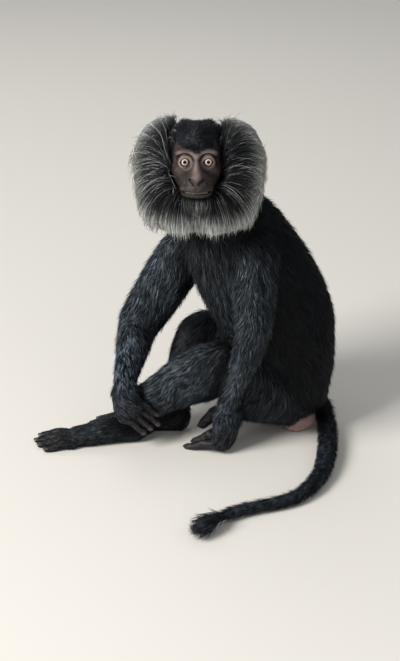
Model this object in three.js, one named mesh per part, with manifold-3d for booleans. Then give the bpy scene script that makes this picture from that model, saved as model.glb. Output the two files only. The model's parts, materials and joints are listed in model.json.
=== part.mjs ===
// A lion-tailed macaque sitting on the ground, life size, as a still museum model.
// Millimetres, +Z up, the floor at z = 0. The animal faces -Y and its left side is +X.
// Every solid reaches out to the tips of the coat. The whole animal is made of smooth solids that
// overlap, and each is then carved back from the ones made before it, which leaves a thin cut.
import * as THREE from "three";
import { mergeVertices } from "three/addons/utils/BufferGeometryUtils.js";
import Module from "manifold-3d";

const wasm = await Module();
wasm.setup();

const V = (x, y, z) => new THREE.Vector3(x, y, z);
const LEFT = V(1, 0, 0);
const UP = V(0, 0, 1);

// ---------------------------------------------------------------- driving dimensions
const CUT = 0.3; // width of the thin cuts between neighbours
const SOLE_DEPTH = 2; // how far feet, hands, seat and tail are pressed flat on the floor

// Joints of the skeleton.
const HIP = { left: V(4, -4, 86), right: V(-66, 4, 86) };
const KNEE = { left: V(-4, -124, 134), right: V(-104, -112, 134) };
const ANKLE = { left: V(-58, -234, 44), right: V(-66, -172, 42) };
const HEEL = { left: V(-51, -224, 17), right: V(-60, -160, 17) };
const TOES = { left: V(-84, -357, 10), right: V(-105, -268, 10) };
const SHOULDER = { left: V(6, -76, 292), right: V(-112, -132, 256) };
const ELBOW = { left: V(66, -101, 195), right: V(-137, -197, 138) };
const WRIST = { left: V(24, -122, 68), right: V(-42, -250, 94) };
const KNUCKLE = { left: V(16, -126, 17), right: V(-25, -246, 64) };

// Head: its centre, and how many degrees it is turned to the left and tipped up from facing -Y.
const HEAD_CENTRE = V(-17.5, -150.4, 411);
const HEAD_TURN = 70;
const HEAD_TIP = 18;

// ---------------------------------------------------------------- solids
const solids = new Map(); // name -> { cut: finished solid, grown: the same shape with the cut added }
const colours = new Map();

function toManifold(geometry) {
  const bare = geometry.clone();
  bare.deleteAttribute("normal");
  bare.deleteAttribute("uv");
  const merged = mergeVertices(bare, 1e-4);
  return new wasm.Manifold(
    new wasm.Mesh({
      numProp: 3,
      vertProperties: new Float32Array(merged.attributes.position.array),
      triVerts: new Uint32Array(merged.index.array),
    }),
  );
}

function toGeometry(solid) {
  const mesh = solid.getMesh();
  const geometry = new THREE.BufferGeometry();
  geometry.setAttribute("position", new THREE.BufferAttribute(mesh.vertProperties, 3));
  geometry.setIndex(new THREE.BufferAttribute(mesh.triVerts, 1));
  geometry.computeVertexNormals();
  return geometry;
}

// A sphere whose rows are moved: place(row, column) gives each point. Rows run from 0 to 1.
function blob(columns, rows, place) {
  const geometry = new THREE.SphereGeometry(1, columns, rows);
  const position = geometry.attributes.position;
  for (let row = 0; row <= rows; row++) {
    for (let column = 0; column <= columns; column++) {
      const point = place(row / rows, (column % columns) / columns);
      position.setXYZ(row * (columns + 1) + column, point.x, point.y, point.z);
    }
  }
  return geometry;
}

// Flesh carried along a smooth curve through stations { at, wide, deep, side }: at each one an ellipse of
// half-width wide along the side direction and half-depth deep across it. The ends are rounded caps.
function limb(stations, { columns = 12, rows = 11, caps = 3, side = LEFT, blunt = 1, grow = 0 } = {}) {
  const curve = new THREE.CatmullRomCurve3(stations.map((s) => s.at), false, "centripetal");
  const last = stations.length - 1;
  const between = (u, key) => {
    const x = Math.min(u * last, last - 1e-6);
    const i = Math.floor(x);
    const t = (x - i) * (x - i) * (3 - 2 * (x - i));
    return stations[i][key] * (1 - t) + stations[i + 1][key] * t;
  };
  const sideAt = (u) => {
    const x = Math.min(u * last, last - 1e-6);
    const i = Math.floor(x);
    return (stations[i].side ?? side).clone().lerp(stations[i + 1].side ?? side, x - i);
  };
  return blob(columns, rows, (row, column) => {
    const k = row * rows;
    let u = (k - caps) / (rows - 2 * caps);
    let cap = 0;
    if (u < 0) cap = -1 - (-k / caps);
    if (u > 1) cap = (k - (rows - caps)) / caps;
    u = Math.min(Math.max(u, 0), 1);
    // cap runs from -1 or 1 at a pole to 0 where the ends begin
    const angle = (cap * Math.PI) / 2;
    const tangent = curve.getTangent(u);
    const across = sideAt(u).addScaledVector(tangent, -sideAt(u).dot(tangent)).normalize();
    const depth = tangent.clone().cross(across);
    const wide = between(u, "wide") + grow;
    const deep = between(u, "deep") + grow;
    const turn = column * 2 * Math.PI;
    return curve
      .getPoint(u)
      .addScaledVector(tangent, Math.sin(angle) * Math.min(wide, deep) * blunt)
      .addScaledVector(across, -Math.cos(turn) * wide * Math.cos(angle))
      .addScaledVector(depth, Math.sin(turn) * deep * Math.cos(angle));
  });
}

const floorBox = new THREE.BoxGeometry(2000, 2000, 1000).translate(0, 0, 500 + SOLE_DEPTH);
const aboveFloor = toManifold(floorBox);

// Adds a solid: make(grow) gives its geometry. It is pressed flat on the floor and carved back from all the
// solids made before it, and only its largest body is kept.
function add(name, colour, make) {
  let cut = toManifold(make(0)).intersect(aboveFloor);
  for (const other of solids.values()) {
    if (touches(cut, other.grown)) cut = cut.subtract(other.grown);
  }
  const bodies = cut.decompose();
  cut = bodies.reduce((a, b) => (a.volume() > b.volume() ? a : b));
  solids.set(name, { cut, grown: toManifold(make(CUT)) });
  colours.set(name, colour);
}

function touches(a, b) {
  const p = a.boundingBox();
  const q = b.boundingBox();
  return [0, 1, 2].every((i) => p.min[i] < q.max[i] && q.min[i] < p.max[i]);
}

const station = (at, wide, deep = wide, side = undefined) => ({ at, wide, deep, side });
const mix = (a, b, t) => a.clone().lerp(b, t);

// ---------------------------------------------------------------- colours
const COAT = 0x14161a;
const MANE = 0x8a8f90;
const FACE = 0x4a3730;
const BARE = 0x33292a;
const PAD = 0x7d5c58;
const EYE = 0xd9b98c;

// ---------------------------------------------------------------- head
// Head coordinates: s to its left, f forward, u up, from HEAD_CENTRE.
function poseOf(centre, degreesTurned) {
  const turned = new THREE.Matrix4().makeRotationZ(THREE.MathUtils.degToRad(degreesTurned));
  const tipped = new THREE.Matrix4().makeRotationX(THREE.MathUtils.degToRad(-HEAD_TIP));
  return turned.multiply(tipped).setPosition(centre);
}
const headPose = poseOf(HEAD_CENTRE, HEAD_TURN);
const inHead = (s, f, u) => V(s, -f, u).applyMatrix4(headPose);

const HEAD_CORE = V(0, 8, -6); // every ray of the head starts here
const EYE_PLACE = V(14.8, 29.5, 4.5);
const EYE_RADIUS = 9.2;

// Rounded masses that melt into one another: centre and half sizes. One off the middle has a twin.
const MASSES = [
  { name: "braincase", centre: V(0, -8, 14), half: V(36, 44, 38) },
  { name: "cheeks", centre: V(0, 9, -5), half: V(31, 29, 33) },
  { name: "brow ridge", centre: V(14, 32, 16), half: V(14, 9, 5.5) },
  { name: "root of the nose", centre: V(0, 35, 11), half: V(8, 8, 9) },
  { name: "cheekbone", centre: V(21, 19, -5), half: V(10, 15, 10) },
  { name: "upper jaw", centre: V(0, 27, -17), half: V(23, 30, 18) },
  { name: "bridge of the nose", centre: V(0, 45, -7), half: V(6, 11, 15) },
  { name: "nose", centre: V(0, 53.5, -15.5), half: V(10.5, 9, 6.5) },
  { name: "upper lip", centre: V(0, 42, -28), half: V(21.5, 20, 10) },
  { name: "lower jaw", centre: V(0, 26, -33.8), half: V(20, 29, 10.6) },
];
const MELT = 6;
const RAY_LENGTH = 90;
const RAY_HALVINGS = 22;

// How far outside (or, below zero, inside) an ellipsoid a point is.
function beyond(centre, half, point) {
  const off = point.clone().sub(centre).divide(half);
  const slope = off.clone().divide(half).length();
  return (off.length() * (off.length() - 1)) / Math.max(slope, 1e-6);
}

function melt(a, b) {
  const near = Math.max(MELT - Math.abs(a - b), 0) / MELT;
  return Math.min(a, b) - (near * near * MELT) / 4;
}

function outsideHead(point) {
  const mirrored = V(Math.abs(point.x), point.y, point.z);
  return MASSES.map(({ centre, half }) => beyond(centre, half, mirrored)).reduce(melt);
}

// The distance from HEAD_CORE to the surface, found by halving.
function headReach(direction) {
  let [near, far] = [0, RAY_LENGTH];
  for (let i = 0; i < RAY_HALVINGS; i++) {
    const half = (near + far) / 2;
    if (outsideHead(HEAD_CORE.clone().addScaledVector(direction, half)) < 0) near = half;
    else far = half;
  }
  return near;
}

// The crown's hair stands up to a flat top, longest above the temples.
const CAP_HAIR = 5;
const CAP_CORNER = 7;
const smoothstep = THREE.MathUtils.smoothstep;
function capHair(point) {
  const aboveBrow = smoothstep(point.z - 0.35 * point.y, 0, 14);
  const corner = Math.min(Math.abs(point.x) / 29, 1) ** 2 * smoothstep(point.z, 25, 45);
  return aboveBrow * (CAP_HAIR + CAP_CORNER * corner);
}

// The poles of the head's rows lie at the nose and at the back, and the rows crowd towards the face.
const NOSE_DROP = THREE.MathUtils.degToRad(-14);
const CROWDING = 0.78;
function headGeometry(grow) {
  return blob(24, 19, (row, column) => {
    const a = row ** CROWDING * Math.PI;
    const turn = column * 2 * Math.PI;
    const d = V(-Math.sin(a) * Math.cos(turn), -Math.cos(a), Math.sin(a) * Math.sin(turn));
    d.applyAxisAngle(LEFT, NOSE_DROP);
    const reach = headReach(d);
    const skin = HEAD_CORE.clone().addScaledVector(d, reach);
    const p = HEAD_CORE.clone().addScaledVector(d, reach + capHair(skin) + grow);
    return inHead(p.x, p.y, p.z);
  });
}

for (const [name, sign] of [["eye_left", 1], ["eye_right", -1]]) {
  add(name, EYE, (grow) => {
    const at = inHead(sign * EYE_PLACE.x, EYE_PLACE.y, EYE_PLACE.z);
    return new THREE.SphereGeometry(EYE_RADIUS + grow, 12, 8).translate(at.x, at.y, at.z);
  });
}
add("head", FACE, headGeometry);

// ---------------------------------------------------------------- trunk and neck
// The back is rounded, and the shoulders are turned to the left against the hips.
const CHEST_SIDE = SHOULDER.left.clone().sub(SHOULDER.right).normalize();
const TRUNK = [
  station(V(-30, 2, 62), 74, 48),
  station(V(-31, -6, 100), 80, 65),
  station(V(-34, -17, 150), 80, 80),
  station(V(-38, -37, 198), 80, 85, mix(LEFT, CHEST_SIDE, 0.4)),
  station(V(-44, -63, 246), 82, 83, mix(LEFT, CHEST_SIDE, 0.8)),
  station(V(-46, -84, 290), 78, 76, CHEST_SIDE),
  station(V(-44, -98, 324), 62, 64, CHEST_SIDE),
];
add("trunk", COAT, (grow) => limb(TRUNK, { columns: 18, rows: 15, blunt: 0.9, grow }));

add("neck", COAT, (grow) =>
  limb([
    station(V(-48, -100, 318), 52, 48),
    station(V(-40, -112, 350), 44, 42),
    station(V(-32, -124, 380), 38, 38),
  ], { columns: 12, rows: 7, caps: 2, side: CHEST_SIDE, grow }),
);

// ---------------------------------------------------------------- legs
// Both knees are drawn up, and the lower legs cross the floor to the right.
const SIDES = ["left", "right"];
const CALF_DEPTH = { left: 43, right: 38 };
const KNEE_DEPTH = { left: 49, right: 36 };
const SAG = { left: 14, right: 0 };
for (const side of SIDES) {
  add(`thigh_${side}`, COAT, (grow) => {
    const hip = HIP[side];
    const knee = KNEE[side];
    return limb([
      station(hip, 44, 54),
      station(mix(hip, knee, 0.28).add(V(0, 0, -22)), 46, 68),
      station(mix(hip, knee, 0.6).add(V(0, 0, -14)), 42, 60),
      station(mix(hip, knee, 0.96), 32, 35),
    ], { columns: 13, rows: 10, grow });
  });
}
for (const side of SIDES) {
  add(`shin_${side}`, COAT, (grow) => {
    const knee = KNEE[side];
    const ankle = ANKLE[side];
    return limb([
      station(mix(knee, ankle, 0.04).add(V(0, 0, -SAG[side])), 31, KNEE_DEPTH[side]),
      station(mix(knee, ankle, 0.32).add(V(0, 2, -3 - 0.1 * SAG[side])), 30, CALF_DEPTH[side]),
      station(mix(knee, ankle, 0.68), 24, CALF_DEPTH[side] - 9),
      station(mix(knee, ankle, 1.0), 19, 24),
    ], { columns: 11, rows: 9, caps: 2, grow });
  });
}

// Feet: a sole from heel to ball, four toes ahead of it and a great toe that stands off the inner side.
const FOOT_LENGTH_TO_BALL = 0.68;
const TOE_SPACING = 11.2;
const TOE_RADIUS = 6;
const GREAT_TOE_LENGTH = { left: 29, right: 44 };
const HEEL_HALF = { left: [15, 18], right: [18, 26] };
for (const side of SIDES) {
  const heel = HEEL[side];
  const toes = TOES[side];
  const ahead = toes.clone().sub(heel).setZ(0).normalize();
  const outer = UP.clone().cross(ahead).multiplyScalar(side === "left" ? 1 : -1);
  const ball = mix(heel, toes, FOOT_LENGTH_TO_BALL).setZ(12);
  add(`foot_${side}`, COAT, (grow) =>
    limb([
      station(heel.clone().add(V(0, 0, HEEL_HALF[side][1] - 16)), ...HEEL_HALF[side]),
      station(mix(heel, ball, 0.35).setZ(23), 18, 23),
      station(mix(heel, ball, 0.7).setZ(15), 21, 15.5),
      station(ball, 21, 11.5),
    ], { columns: 11, rows: 8, caps: 2, side: outer, blunt: 0.8, grow }),
  );
  const toeLengths = [44, 50, 46, 38];
  toeLengths.forEach((length, i) => {
    const root = ball.clone().addScaledVector(outer, (i - 1.5) * TOE_SPACING).setZ(8);
    const way = ahead.clone().addScaledVector(outer, (i - 1.5) * 0.07).normalize();
    add(`toe_${i + 2}_${side}`, BARE, (grow) => digit(root, way, length, TOE_RADIUS, 4, grow));
  });
  const thumbRoot = mix(heel, ball, 0.55).addScaledVector(outer, -16).setZ(10);
  const thumbWay = ahead.clone().addScaledVector(outer, -0.55).normalize();
  add(`toe_1_${side}`, BARE, (grow) => digit(thumbRoot, thumbWay, GREAT_TOE_LENGTH[side], 7, 3, grow));
}

// A finger or toe: from its root along way, its middle joint raised by arch, its tip on the floor.
function digit(root, way, length, radius, arch, grow, tipDrop = root.z - 0.8 * radius) {
  const point = (t, lift) => root.clone().addScaledVector(way, length * t).add(V(0, 0, lift));
  return limb([
    station(point(0, 0), radius * 1.05, radius * 1.1),
    station(point(0.45, arch - tipDrop * 0.3), radius, radius * 1.05),
    station(point(0.78, arch * 0.3 - tipDrop * 0.85), radius * 0.98),
    station(point(1, -tipDrop), radius * 0.86, radius * 0.9),
  ], { columns: 7, rows: 7, caps: 2, side: UP.clone().cross(way), grow });
}

// ---------------------------------------------------------------- arms
// The left arm props the body up. The right one reaches across to the left ankle.
const ARM_DEPTH = { left: [34, 29, 25], right: [41, 39, 35] }; // upper third, lower third, elbow
for (const side of SIDES) {
  add(`upper_arm_${side}`, COAT, (grow) => {
    const shoulder = SHOULDER[side];
    const elbow = ELBOW[side];
    return limb([
      station(shoulder, 36, 40),
      station(mix(shoulder, elbow, 0.35), 34, ARM_DEPTH[side][0]),
      station(mix(shoulder, elbow, 0.75), 30, ARM_DEPTH[side][1]),
      station(elbow, 27, ARM_DEPTH[side][2]),
    ], { columns: 11, rows: 9, caps: 2, grow });
  });
}
for (const side of SIDES) {
  add(`forearm_${side}`, COAT, (grow) => {
    const elbow = ELBOW[side];
    const wrist = WRIST[side];
    return limb([
      station(mix(elbow, wrist, 0.02), 25, ARM_DEPTH[side][2] - 1),
      station(mix(elbow, wrist, 0.3), 24, ARM_DEPTH[side][2] - 6),
      station(mix(elbow, wrist, 0.7), 19, ARM_DEPTH[side][2] - 12),
      station(mix(elbow, wrist, 0.97), 16, 17),
    ], { columns: 11, rows: 9, caps: 2, grow });
  });
}

// Hands. The left one stands on the floor with its fingers flat on it, the nearest one straightest.
// The right one hangs over the left ankle with its fingers curling down round it.
const HAND = {
  left: {
    wristAcross: V(0.62, -0.78, 0),
    across: V(0.72, -0.69, 0),
    way: V(-0.69, -0.72, 0),
    reach: [0.62, 0.7, 0.85, 1],
    arch: [5, 7, 7, 2],
    tipHeight: [5.2, 6.5, 8.5, 5.1],
    palm: [[20, 18], [23, 18], [24, 16]],
    palmShift: V(1, 2.8, 0),
    thumbWay: V(-0.45, -0.5, -0.8),
    thumbAhead: 18,
    thumbAside: -10,
    thumbUp: 0.24,
    thumbRadius: 7.4,
  },
  right: {
    wristAcross: V(0.1, -1, -0.1),
    across: V(0.1, -0.8, -0.6),
    way: V(0.12, 0.8, -0.62),
    reach: [0.75, 0.85, 0.85, 0.8],
    arch: [5, 5, 5, 5],
    palm: [[18, 16], [21, 15], [23, 13]],
    palmShift: V(0, 0, 0),
    thumbRadius: 6,
    thumbWay: V(0.15, 0.5, -0.85),
    thumbAhead: 4,
    thumbAside: -15,
    thumbUp: 0.3,
  },
};
const FINGER_LENGTHS = [40, 50, 46, 46]; // index to little finger
const FINGER_RADIUS = 5.1;
const FINGER_SPACING = 10.7;
const THUMB_LENGTH = 32;
for (const side of SIDES) {
  const pose = HAND[side];
  const wrist = WRIST[side];
  const knuckle = KNUCKLE[side];
  const across = pose.across.clone().normalize();
  const way = pose.way.clone().normalize();
  add(`hand_${side}`, BARE, (grow) =>
    limb([
      station(mix(wrist, knuckle, 0.12).add(pose.palmShift), ...pose.palm[0], pose.wristAcross),
      station(mix(wrist, knuckle, 0.55).add(pose.palmShift), ...pose.palm[1], pose.wristAcross),
      station(knuckle.clone().add(pose.palmShift), ...pose.palm[2], across),
    ], { columns: 10, rows: 8, caps: 2, blunt: 0.85, grow }),
  );
  FINGER_LENGTHS.forEach((length, i) => {
    const root = knuckle.clone().addScaledVector(across, (i - 1.5) * FINGER_SPACING);
    const drop = side === "left" ? root.z - pose.tipHeight[i] : 0;
    add(`finger_${i + 2}_${side}`, BARE, (grow) =>
      digit(root, way, length * pose.reach[i], FINGER_RADIUS, pose.arch[i], grow, drop),
    );
  });
  const thumbRoot = mix(wrist, knuckle, pose.thumbUp)
    .addScaledVector(across, pose.thumbAside)
    .addScaledVector(way, pose.thumbAhead);
  const thumbWay = pose.thumbWay.clone().normalize();
  add(`thumb_${side}`, BARE, (grow) =>
    digit(thumbRoot, thumbWay, THUMB_LENGTH, pose.thumbRadius, 0, grow, 0),
  );
}

// ---------------------------------------------------------------- mane
// A ruff of long hair in a horseshoe round the face, open above the brow. Its angle is 0 under the chin.
// Its section is an ellipse whose inner half lies in the cheek, so that it is thickest beside the face.
const MANE_SPAN = 139;
const hill = (x, at, width) => Math.exp(-(((x - at) / width) ** 2));
const maneOuter = (degrees) =>
  91 + 23 * hill(degrees, 34, 20) + 4 * hill(degrees, 105, 20) - 4 * hill(degrees, 135, 14);
const maneMiddle = (degrees) => 44 + 14 * hill(degrees, 0, 45) + 6 * hill(degrees, 138, 25);
const maneForward = (degrees) => -9 + 10 * hill(degrees, 0, 50) - 4 * hill(degrees, 138, 30);
const MANE_DEPTH = 36;
const MANE_OFFSET = V(-2.5, 0, 2.5);
const MANE_CENTRE = V(-16, -147, 411);
const MANE_TURN = 62;
const manePose = poseOf(MANE_CENTRE, MANE_TURN);
const inMane = (s, f, u) => V(s, -f, u).applyMatrix4(manePose);
const maneDirection = (s, f, u) => inMane(s, f, u).sub(MANE_CENTRE).normalize();
const MANE_SWEEP = -0.18; // how far the outer rim is swept back

function maneStation(signed) {
  const degrees = Math.abs(signed);
  const a = THREE.MathUtils.degToRad(signed);
  const middle = maneMiddle(degrees);
  const half = maneOuter(degrees) - middle;
  const s = MANE_OFFSET.x + Math.sin(a) * middle;
  const u = MANE_OFFSET.z - Math.cos(a) * middle;
  const at = inMane(s, maneForward(degrees), u);
  return station(at, half, MANE_DEPTH, maneDirection(Math.sin(a), MANE_SWEEP, -Math.cos(a)));
}
const MANE_STATIONS = 15;
const maneAngle = (i) => MANE_SPAN * ((2 * i) / (MANE_STATIONS - 1) - 1);
const MANE_ANGLES = Array.from({ length: MANE_STATIONS }, (_, i) => maneAngle(i));
add("mane", MANE, (grow) =>
  limb(
    MANE_ANGLES.map((degrees) => maneStation(degrees)),
    { columns: 9, rows: 28, blunt: 0.6, grow },
  ),
);

// ---------------------------------------------------------------- seat pads
// Two bare callouses that the animal sits on.
for (const [side, x] of [["left", -5], ["right", -54]]) {
  add(`seat_pad_${side}`, PAD, (grow) =>
    limb([station(V(x, -8, 15.5), 18, 17), station(V(x, 12, 17), 17, 16)], {
      columns: 8, rows: 7, caps: 2, grow,
    }),
  );
}

// ---------------------------------------------------------------- tail
// It leaves the rump, lies on the floor in a curve round the left side, and ends in a tuft.
const TAIL_ROUTE = [
  V(-27, 27, 50), V(-7, 37, 26), V(20, 33, 16), V(57, 17, 15), V(100, -3, 14.5), V(138, -27, 13.5),
  V(168, -58, 12), V(185, -90, 11), V(187, -127, 11), V(188, -161, 11), V(195, -188, 13),
];
const tailCurve = new THREE.CatmullRomCurve3(TAIL_ROUTE, false, "centripetal");
const tailRadius = (t) => 16 - 4.8 * THREE.MathUtils.smoothstep(t, 0.2, 0.95);
const TAIL_PARTS = ["tail_base", "tail_middle", "tail_end"];
TAIL_PARTS.forEach((name, part) => {
  add(name, COAT, (grow) => {
    const steps = 4;
    const list = Array.from({ length: steps + 1 }, (_, i) => {
      const t = (part + i / steps) / TAIL_PARTS.length;
      const r = tailRadius(t);
      const at = tailCurve.getPoint(t);
      return station(at, r, r);
    });
    return limb(list, { columns: 8, rows: 8, caps: 2, side: UP, grow });
  });
});
add("tail_tuft", COAT, (grow) =>
  limb([
    station(V(196, -190, 13), 11, 11),
    station(V(209, -212, 18), 19, 18),
    station(V(218, -228, 17), 15, 16),
  ], { columns: 10, rows: 8, side: UP, grow }),
);

// ---------------------------------------------------------------- the model
const monkey = new THREE.Group();
for (const [name, { cut }] of solids) {
  const color = colours.get(name);
  const material = new THREE.MeshStandardMaterial({ color, roughness: 0.85, metalness: 0 });
  const mesh = new THREE.Mesh(toGeometry(cut), material);
  mesh.name = name;
  monkey.add(mesh);
}
// The origin is on the floor, under the middle of the model.
const box = new THREE.Box3().setFromObject(monkey);
const middle = box.getCenter(V(0, 0, 0));
monkey.position.set(-middle.x, -middle.y, -box.min.z);

export default monkey;
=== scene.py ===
"""A lion-tailed macaque sitting on the ground, life size: one skin with its eyes, teeth, nails and seat
pads, under a coat of short black hair and a ruff of long grey hair, on a pale studio floor."""

import json

import bpy
import numpy as np
import openvdb
from mathutils import Matrix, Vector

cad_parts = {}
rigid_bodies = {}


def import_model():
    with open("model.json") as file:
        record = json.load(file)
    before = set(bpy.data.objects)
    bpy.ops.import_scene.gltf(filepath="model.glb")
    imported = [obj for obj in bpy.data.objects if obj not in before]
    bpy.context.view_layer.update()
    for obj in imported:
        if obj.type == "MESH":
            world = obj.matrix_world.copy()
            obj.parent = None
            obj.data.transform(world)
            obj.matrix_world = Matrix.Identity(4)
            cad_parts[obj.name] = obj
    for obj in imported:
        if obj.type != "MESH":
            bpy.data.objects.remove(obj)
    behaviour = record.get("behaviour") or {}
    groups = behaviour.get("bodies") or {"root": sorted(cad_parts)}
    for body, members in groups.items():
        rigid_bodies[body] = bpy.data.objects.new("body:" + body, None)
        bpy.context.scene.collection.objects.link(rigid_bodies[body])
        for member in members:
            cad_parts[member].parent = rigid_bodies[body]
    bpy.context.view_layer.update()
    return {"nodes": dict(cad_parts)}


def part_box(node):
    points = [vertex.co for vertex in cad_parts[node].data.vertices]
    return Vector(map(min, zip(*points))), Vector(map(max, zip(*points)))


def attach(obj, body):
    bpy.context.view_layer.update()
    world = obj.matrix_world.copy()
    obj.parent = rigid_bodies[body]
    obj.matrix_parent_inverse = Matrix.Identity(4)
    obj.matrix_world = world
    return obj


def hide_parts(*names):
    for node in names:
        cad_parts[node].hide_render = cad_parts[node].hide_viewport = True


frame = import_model()
nodes = frame["nodes"]
MM = 0.001

# ---------------------------------------------------------------- the body without its coat
# The black hide of trunk, limbs and tail, which lies one coat's depth inside the outline. A lattice holds
# each knot's distance from the outline of all the parts together, plus the depth of coat there, and the
# hide is where the sum is nothing. The same blend of parts gives each place its hair's length and lie.

JOIN = 0.9 * MM  # parts closer than twice this are one flesh
flesh = sorted(name for name in nodes if not name.startswith(("eye", "head", "seat")))
paws = [name for name in flesh if name.startswith(("hand", "foot"))]
digits = [name for name in flesh if name.startswith(("finger", "thumb", "toe"))]


def palm_of(digit):
    """The hand or foot that a finger, thumb or toe grows from: its name has the digit's own side."""
    return ("foot" if "toe" in digit else "hand") + digit[digit.rfind("_"):]


def values_of(data, field, kind, width):
    """One value of every vertex, loop or triangle of a mesh, as an array with a row for each."""
    values = np.empty(len(data) * width, kind)
    data.foreach_get(field, values)
    return values.reshape(-1, width)


def surface_of(names):
    """Points (n, 3) and triangles (m, 3) of the named solids, one solid after another."""
    points, triangles, count = [], [], 0
    for name in names:
        mesh = nodes[name].data
        mesh.calc_loop_triangles()
        points.append(values_of(mesh.vertices, "co", np.float32, 3))
        triangles.append(values_of(mesh.loop_triangles, "vertices", np.int32, 3) + count)
        count += len(points[-1])
    return np.concatenate(points), np.concatenate(triangles).astype(np.uint32)


def lattice_round(names, cell, margin):
    """A lattice round the named solids: its cell, first knot, and number of knots on each axis."""
    outline = surface_of(names)[0]
    first = np.floor((outline.min(0) - margin) / cell).astype(int)
    last = np.ceil((outline.max(0) + margin) / cell).astype(int)
    return cell, tuple(int(i) for i in first), tuple(int(i) for i in last - first + 1)


def knots_of(lattice):
    """The places of all the knots of a lattice."""
    cell, first, count = lattice
    return (np.indices(count).reshape(3, -1).T + first) * cell


def distances(points, triangles, lattice, outside, inside):
    """Distance from a closed surface at each knot of the lattice, less than nothing inside it. Beyond the
    two given reaches it stays at their value."""
    cell, first, count = lattice
    grid = openvdb.FloatGrid.createLevelSetFromPolygons(
        np.ascontiguousarray(points, np.float32), triangles=np.ascontiguousarray(triangles, np.uint32),
        transform=openvdb.createLinearTransform(cell), exBandWidth=outside / cell, inBandWidth=inside / cell)
    values = np.empty(count, np.float32)
    grid.copyToArray(values, ijk=first)
    return values


def surface_at(values, lattice, level=0.0):
    """Points and triangles of the surface on which a lattice has the value level, facing outwards."""
    cell, first, _ = lattice
    grid = openvdb.FloatGrid()
    grid.transform = openvdb.createLinearTransform(cell)
    grid.copyFromArray(np.ascontiguousarray(values - level, np.float32), first)
    points, quads = grid.convertToQuads()
    return points, outwards(points, halved(quads))


def halved(quads):
    """Two triangles for each face of four corners: its first three, and its first, third and fourth."""
    return np.concatenate((quads[:, [0, 1, 2]], quads[:, [0, 2, 3]])).astype(np.int64)


def outwards(points, triangles):
    """The triangles of a closed surface, turned round together if they enclose less than nothing."""
    a, b, c = (points[triangles] - points[triangles].mean((0, 1))).astype(float).transpose(1, 0, 2)
    return triangles if np.sum(a * np.cross(b, c)) > 0 else triangles[:, ::-1]


def unit(vectors):
    """Each vector at a length of one."""
    return vectors / np.maximum(np.linalg.norm(vectors, axis=-1, keepdims=True), 1e-9)


def smooth(values, times):
    """Each knot becomes the mean of itself and its two neighbours, along each axis in turn."""
    for _ in range(times):
        for axis in range(3):
            v = np.moveaxis(values, axis, 0)
            v[1:-1] = (v[:-2] + v[1:-1] + v[2:]) / 3
    return values


def melt(a, b, soft):
    """The nearer of two distances, less up to a quarter of soft where they are within soft of each other,
    by the square of how near they are."""
    near = np.maximum(soft - np.abs(a - b), 0) / soft
    return np.minimum(a, b) - near * near * soft / 4


def step(x, low, high):
    """Nothing below low, one above high, and a smooth rise between: with t the share of the way, three
    times its square less twice its cube."""
    t = np.clip((x - low) / (high - low), 0, 1)
    return t * t * (3 - 2 * t)


# Head axes: s to its left, f forward and u up, from the middle of the skull.
HEAD_TIP = np.radians(18)  # how far the face is lifted
EYE_PLACE = np.array([14.8, 29.5, 4.5])  # of the left eye, in millimetres along those axes
UP = np.array([0, 0, 1.0])
eye_at = {side: np.array(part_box(f"eye_{side}")).mean(0) for side in ("left", "right")}
side_axis = unit(eye_at["left"] - eye_at["right"])
ahead = unit(np.cross(side_axis, UP))
forward_axis = ahead * np.cos(HEAD_TIP) + UP * np.sin(HEAD_TIP)
up_axis = np.cross(forward_axis, side_axis)
head_axes = np.array([side_axis, forward_axis, up_axis])
head_middle = (eye_at["left"] + eye_at["right"]) / 2 - EYE_PLACE[1:] @ head_axes[1:] * MM


def in_head(points):
    """The same points in the head's own axes, in millimetres."""
    return (points - head_middle) @ head_axes.T / MM


# What each part's coat is like: its depth and the length of its hairs in millimetres, how thick a lock
# is, how densely the locks grow, how grey they are (their share of light locks, a painted sheen that is
# strongest on the limbs and weakest on the shaded back), the part that they point to, and a pull down added.
COAT = {
    "trunk": (11, 29, 0.75, 1.0, 0.07, "tail_base", 0.3),
    "neck": (11, 30, 0.75, 1.0, 0.12, "trunk", 0.3),
    "thigh": (9, 25, 0.72, 1.0, 0.38, "shin", 1.6),
    "shin": (6.5, 18, 0.62, 1.1, 0.72, "foot", 0.2),
    "foot": (2.2, 11, 0.5, 1.4, 0.34, "toe_3", 0.0),
    "toe": (1.0, 8, 0.38, 1.2, 0.1, "", 0.0),
    "upper_arm": (8, 23, 0.70, 1.0, 0.55, "forearm", 0.2),
    "forearm": (6, 18, 0.62, 1.1, 0.9, "hand", 0.2),
    "hand": (1.5, 11, 0.45, 1.4, 0.5, "finger_3", 0.0),
    "finger": (0.3, 6, 0.32, 0.6, 0.1, "", 0.0),
    "thumb": (1.7, 9, 0.42, 1.3, 0.12, "", 0.0),
    "tail_base": (5, 17, 0.62, 1.2, 0.4, "tail_middle", 0.0),
    "tail_middle": (4.5, 16, 0.6, 1.2, 0.4, "tail_end", 0.0),
    "tail_end": (4.5, 17, 0.6, 1.2, 0.4, "tail_tuft", 0.0),
    "tail_tuft": (10, 34, 0.75, 1.5, 0.4, "", 0.0),
    "mane": (10, 60, 1.0, 1.0, 0.1, "", 0.0),
}


def kind_of(name):
    """A part's row in COAT: its own name, or its name without side and number."""
    bare = name.replace("_left", "").replace("_right", "")
    return bare if bare in COAT else bare.split("_")[0]


def ruff_lie(points):
    """The way that the ruff's hair starts: outwards from the middle of the face and back a little, turned
    upwards at its sides."""
    s, f, u = in_head(points).T
    away = unit(np.stack((s + 1e-3, -0.10 * np.hypot(s, u), u - 2), -1))
    upwards = 0.9 * step(u, -60, -20) * (1 - 0.6 * step(u, 15, 40))
    return unit(away @ head_axes + UP * upwards[:, None])


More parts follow.
